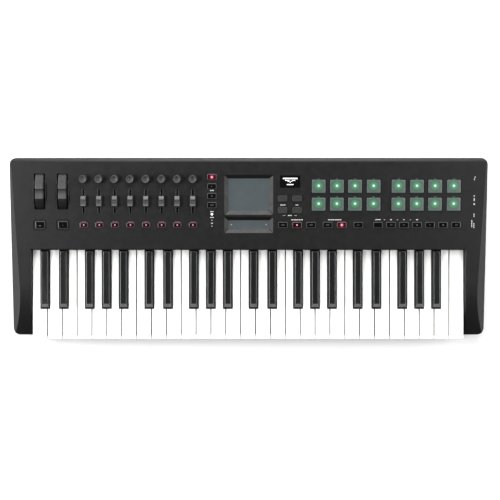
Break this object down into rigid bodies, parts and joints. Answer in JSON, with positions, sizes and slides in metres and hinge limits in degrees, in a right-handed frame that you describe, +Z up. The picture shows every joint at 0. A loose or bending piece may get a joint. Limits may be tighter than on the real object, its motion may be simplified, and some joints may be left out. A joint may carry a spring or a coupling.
{
  "type": "midi keyboard",
  "caption": "Wedge-shaped desktop MIDI controller keyboard with full-size keys, two thumb wheels, knobs, faders, touch pad, touch strip, small display, lit pads and button rows.",
  "frame": {"origin": "centre of the footprint's bounding box, on the surface the feet stand on", "axes": "+X along the keyboard towards the highest note, +Y away from the player towards the rear edge, +Z up"},
  "size_m": [0.748, 0.285, 0.0942],
  "materials": {
    "case_grey": "fine moulded grain",
    "case_black": "fine moulded grain",
    "steel": "plain",
    "foot_rubber": "matt",
    "frame_plastic": "plain moulded",
    "felt": "pressed felt",
    "circuit_board": "solder mask",
    "contact_rubber": "silicone",
    "part_black": "plain moulded",
    "window_gloss": "polished",
    "touch_surface": "satin film",
    "socket_metal": "plated",
    "socket_black": "semi-gloss",
    "wheel_grey": "soft-touch, fine ribs",
    "knob_grey": "satin",
    "fader_grey": "satin",
    "key_white": "semi-gloss",
    "key_black": "satin top",
    "button_grey": "translucent rim, glossy window",
    "pad_silicone": "translucent, lit from inside"
  },
  "bodies": {
    "root": {"top_case": "case_grey", "bottom_case": "case_black", "case_screws": "steel", "rubber_feet": "foot_rubber", "key_frame": "frame_plastic", "key_pivot_rod": "steel", "key_felts": "felt", "key_contact_board": "circuit_board", "key_contact_strip": "contact_rubber", "key_springs": "steel", "wheel_bracket": "frame_plastic", "rotary_pots": "steel", "fader_bodies": "part_black", "panel_board": "circuit_board", "main_board": "circuit_board", "display_window": "window_gloss", "display_module": "part_black", "touch_pad": "touch_surface", "touch_strip": "touch_surface", "usb_socket": "socket_metal", "dc_inlet": "socket_black", "pedal_jacks": "socket_black"},
    "pitch_wheel": {"pitch_wheel": "wheel_grey"},
    "mod_wheel": {"mod_wheel": "wheel_grey"},
    "knob_1": {"knob_1": "knob_grey"},
    "knob_2": {"knob_2": "knob_grey"},
    "knob_3": {"knob_3": "knob_grey"},
    "knob_4": {"knob_4": "knob_grey"},
    "knob_5": {"knob_5": "knob_grey"},
    "knob_6": {"knob_6": "knob_grey"},
    "knob_7": {"knob_7": "knob_grey"},
    "knob_8": {"knob_8": "knob_grey"},
    "fader_1": {"fader_1": "fader_grey"},
    "fader_2": {"fader_2": "fader_grey"},
    "fader_3": {"fader_3": "fader_grey"},
    "fader_4": {"fader_4": "fader_grey"},
    "fader_5": {"fader_5": "fader_grey"},
    "fader_6": {"fader_6": "fader_grey"},
    "fader_7": {"fader_7": "fader_grey"},
    "fader_8": {"fader_8": "fader_grey"},
    "c_keys": {"c_keys": "key_white"},
    "c_sharp_keys": {"c_sharp_keys": "key_black"},
    "d_keys": {"d_keys": "key_white"},
    "d_sharp_keys": {"d_sharp_keys": "key_black"},
    "e_keys": {"e_keys": "key_white"},
    "f_keys": {"f_keys": "key_white"},
    "f_sharp_keys": {"f_sharp_keys": "key_black"},
    "g_keys": {"g_keys": "key_white"},
    "g_sharp_keys": {"g_sharp_keys": "key_black"},
    "a_keys": {"a_keys": "key_white"},
    "a_sharp_keys": {"a_sharp_keys": "key_black"},
    "b_keys": {"b_keys": "key_white"},
    "octave_buttons": {"octave_buttons": "button_grey"},
    "channel_buttons": {"channel_buttons": "button_grey"},
    "mode_buttons": {"mode_buttons": "button_grey"},
    "page_buttons": {"page_buttons": "button_grey"},
    "function_buttons": {"function_buttons": "button_grey"},
    "transport_buttons": {"transport_buttons": "button_grey"},
    "pads_bank_1": {"pads_bank_1": "pad_silicone"},
    "pads_bank_2": {"pads_bank_2": "pad_silicone"}
  },
  "joints": [
    {"name": "pitch_wheel_turn", "type": "hinge", "parent": "root", "child": "pitch_wheel", "pos_m": [-0.3271, 0.09237, 0.0534], "axis": [1, 0, 0], "range_deg": [-38, 38], "stiffness_Nm_per_rad": 0.05},
    {"name": "mod_wheel_turn", "type": "hinge", "parent": "root", "child": "mod_wheel", "pos_m": [-0.2912, 0.09237, 0.0534], "axis": [1, 0, 0], "range_deg": [-38, 38]},
    {"name": "knob_1_turn", "type": "hinge", "parent": "root", "child": "knob_1", "pos_m": [-0.2586, 0.1092, 0.08128], "axis": [0, -0.1028, 0.9947], "range_deg": [-145, 145]},
    {"name": "knob_2_turn", "type": "hinge", "parent": "root", "child": "knob_2", "pos_m": [-0.23415, 0.1092, 0.08128], "axis": [0, -0.1028, 0.9947], "range_deg": [-145, 145]},
    {"name": "knob_3_turn", "type": "hinge", "parent": "root", "child": "knob_3", "pos_m": [-0.2097, 0.1092, 0.08128], "axis": [0, -0.1028, 0.9947], "range_deg": [-145, 145]},
    {"name": "knob_4_turn", "type": "hinge", "parent": "root", "child": "knob_4", "pos_m": [-0.18525, 0.1092, 0.08128], "axis": [0, -0.1028, 0.9947], "range_deg": [-145, 145]},
    {"name": "knob_5_turn", "type": "hinge", "parent": "root", "child": "knob_5", "pos_m": [-0.1608, 0.1092, 0.08128], "axis": [0, -0.1028, 0.9947], "range_deg": [-145, 145]},
    {"name": "knob_6_turn", "type": "hinge", "parent": "root", "child": "knob_6", "pos_m": [-0.13635, 0.1092, 0.08128], "axis": [0, -0.1028, 0.9947], "range_deg": [-145, 145]},
    {"name": "knob_7_turn", "type": "hinge", "parent": "root", "child": "knob_7", "pos_m": [-0.1119, 0.1092, 0.08128], "axis": [0, -0.1028, 0.9947], "range_deg": [-145, 145]},
    {"name": "knob_8_turn", "type": "hinge", "parent": "root", "child": "knob_8", "pos_m": [-0.08745, 0.1092, 0.08128], "axis": [0, -0.1028, 0.9947], "range_deg": [-145, 145]},
    {"name": "fader_1_slide", "type": "slide", "parent": "root", "child": "fader_1", "axis": [0, 0.9947, 0.1028], "range_m": [-0.015, 0.015]},
    {"name": "fader_2_slide", "type": "slide", "parent": "root", "child": "fader_2", "axis": [0, 0.9947, 0.1028], "range_m": [-0.015, 0.015]},
    {"name": "fader_3_slide", "type": "slide", "parent": "root", "child": "fader_3", "axis": [0, 0.9947, 0.1028], "range_m": [-0.015, 0.015]},
    {"name": "fader_4_slide", "type": "slide", "parent": "root", "child": "fader_4", "axis": [0, 0.9947, 0.1028], "range_m": [-0.015, 0.015]},
    {"name": "fader_5_slide", "type": "slide", "parent": "root", "child": "fader_5", "axis": [0, 0.9947, 0.1028], "range_m": [-0.015, 0.015]},
    {"name": "fader_6_slide", "type": "slide", "parent": "root", "child": "fader_6", "axis": [0, 0.9947, 0.1028], "range_m": [-0.015, 0.015]},
    {"name": "fader_7_slide", "type": "slide", "parent": "root", "child": "fader_7", "axis": [0, 0.9947, 0.1028], "range_m": [-0.015, 0.015]},
    {"name": "fader_8_slide", "type": "slide", "parent": "root", "child": "fader_8", "axis": [0, 0.9947, 0.1028], "range_m": [-0.015, 0.015]},
    {"name": "c_keys_press", "type": "hinge", "parent": "root", "child": "c_keys", "pos_m": [0, 0.026, 0.0455], "axis": [1, 0, 0], "range_deg": [0, 3.4], "stiffness_Nm_per_rad": 4, "springref_deg": -5.73},
    {"name": "c_sharp_keys_press", "type": "hinge", "parent": "root", "child": "c_sharp_keys", "pos_m": [0, 0.026, 0.0455], "axis": [1, 0, 0], "range_deg": [0, 3.4], "stiffness_Nm_per_rad": 4, "springref_deg": -5.73},
    {"name": "d_keys_press", "type": "hinge", "parent": "root", "child": "d_keys", "pos_m": [0, 0.026, 0.0455], "axis": [1, 0, 0], "range_deg": [0, 3.4], "stiffness_Nm_per_rad": 4, "springref_deg": -5.73},
    {"name": "d_sharp_keys_press", "type": "hinge", "parent": "root", "child": "d_sharp_keys", "pos_m": [0, 0.026, 0.0455], "axis": [1, 0, 0], "range_deg": [0, 3.4], "stiffness_Nm_per_rad": 4, "springref_deg": -5.73},
    {"name": "e_keys_press", "type": "hinge", "parent": "root", "child": "e_keys", "pos_m": [0, 0.026, 0.0455], "axis": [1, 0, 0], "range_deg": [0, 3.4], "stiffness_Nm_per_rad": 4, "springref_deg": -5.73},
    {"name": "f_keys_press", "type": "hinge", "parent": "root", "child": "f_keys", "pos_m": [0, 0.026, 0.0455], "axis": [1, 0, 0], "range_deg": [0, 3.4], "stiffness_Nm_per_rad": 4, "springref_deg": -5.73},
    {"name": "f_sharp_keys_press", "type": "hinge", "parent": "root", "child": "f_sharp_keys", "pos_m": [0, 0.026, 0.0455], "axis": [1, 0, 0], "range_deg": [0, 3.4], "stiffness_Nm_per_rad": 4, "springref_deg": -5.73},
    {"name": "g_keys_press", "type": "hinge", "parent": "root", "child": "g_keys", "pos_m": [0, 0.026, 0.0455], "axis": [1, 0, 0], "range_deg": [0, 3.4], "stiffness_Nm_per_rad": 4, "springref_deg": -5.73},
    {"name": "g_sharp_keys_press", "type": "hinge", "parent": "root", "child": "g_sharp_keys", "pos_m": [0, 0.026, 0.0455], "axis": [1, 0, 0], "range_deg": [0, 3.4], "stiffness_Nm_per_rad": 4, "springref_deg": -5.73},
    {"name": "a_keys_press", "type": "hinge", "parent": "root", "child": "a_keys", "pos_m": [0, 0.026, 0.0455], "axis": [1, 0, 0], "range_deg": [0, 3.4], "stiffness_Nm_per_rad": 4, "springref_deg": -5.73},
    {"name": "a_sharp_keys_press", "type": "hinge", "parent": "root", "child": "a_sharp_keys", "pos_m": [0, 0.026, 0.0455], "axis": [1, 0, 0], "range_deg": [0, 3.4], "stiffness_Nm_per_rad": 4, "springref_deg": -5.73},
    {"name": "b_keys_press", "type": "hinge", "parent": "root", "child": "b_keys", "pos_m": [0, 0.026, 0.0455], "axis": [1, 0, 0], "range_deg": [0, 3.4], "stiffness_Nm_per_rad": 4, "springref_deg": -5.73},
    {"name": "octave_buttons_press", "type": "slide", "parent": "root", "child": "octave_buttons", "axis": [0, -0.1028, 0.9947], "range_m": [-0.001, 0], "stiffness_N_per_m": 200, "springref_m": 0.001},
    {"name": "channel_buttons_press", "type": "slide", "parent": "root", "child": "channel_buttons", "axis": [0, -0.1028, 0.9947], "range_m": [-0.001, 0], "stiffness_N_per_m": 200, "springref_m": 0.001},
    {"name": "mode_buttons_press", "type": "slide", "parent": "root", "child": "mode_buttons", "axis": [0, -0.1028, 0.9947], "range_m": [-0.001, 0], "stiffness_N_per_m": 200, "springref_m": 0.001},
    {"name": "page_buttons_press", "type": "slide", "parent": "root", "child": "page_buttons", "axis": [0, -0.1028, 0.9947], "range_m": [-0.001, 0], "stiffness_N_per_m": 200, "springref_m": 0.001},
    {"name": "function_buttons_press", "type": "slide", "parent": "root", "child": "function_buttons", "axis": [0, -0.1028, 0.9947], "range_m": [-0.001, 0], "stiffness_N_per_m": 200, "springref_m": 0.001},
    {"name": "transport_buttons_press", "type": "slide", "parent": "root", "child": "transport_buttons", "axis": [0, -0.1028, 0.9947], "range_m": [-0.001, 0], "stiffness_N_per_m": 200, "springref_m": 0.001},
    {"name": "pads_bank_1_press", "type": "slide", "parent": "root", "child": "pads_bank_1", "axis": [0, -0.1028, 0.9947], "range_m": [-0.0008, 0], "stiffness_N_per_m": 600, "springref_m": 0.001},
    {"name": "pads_bank_2_press", "type": "slide", "parent": "root", "child": "pads_bank_2", "axis": [0, -0.1028, 0.9947], "range_m": [-0.0008, 0], "stiffness_N_per_m": 600, "springref_m": 0.001}
  ]
}
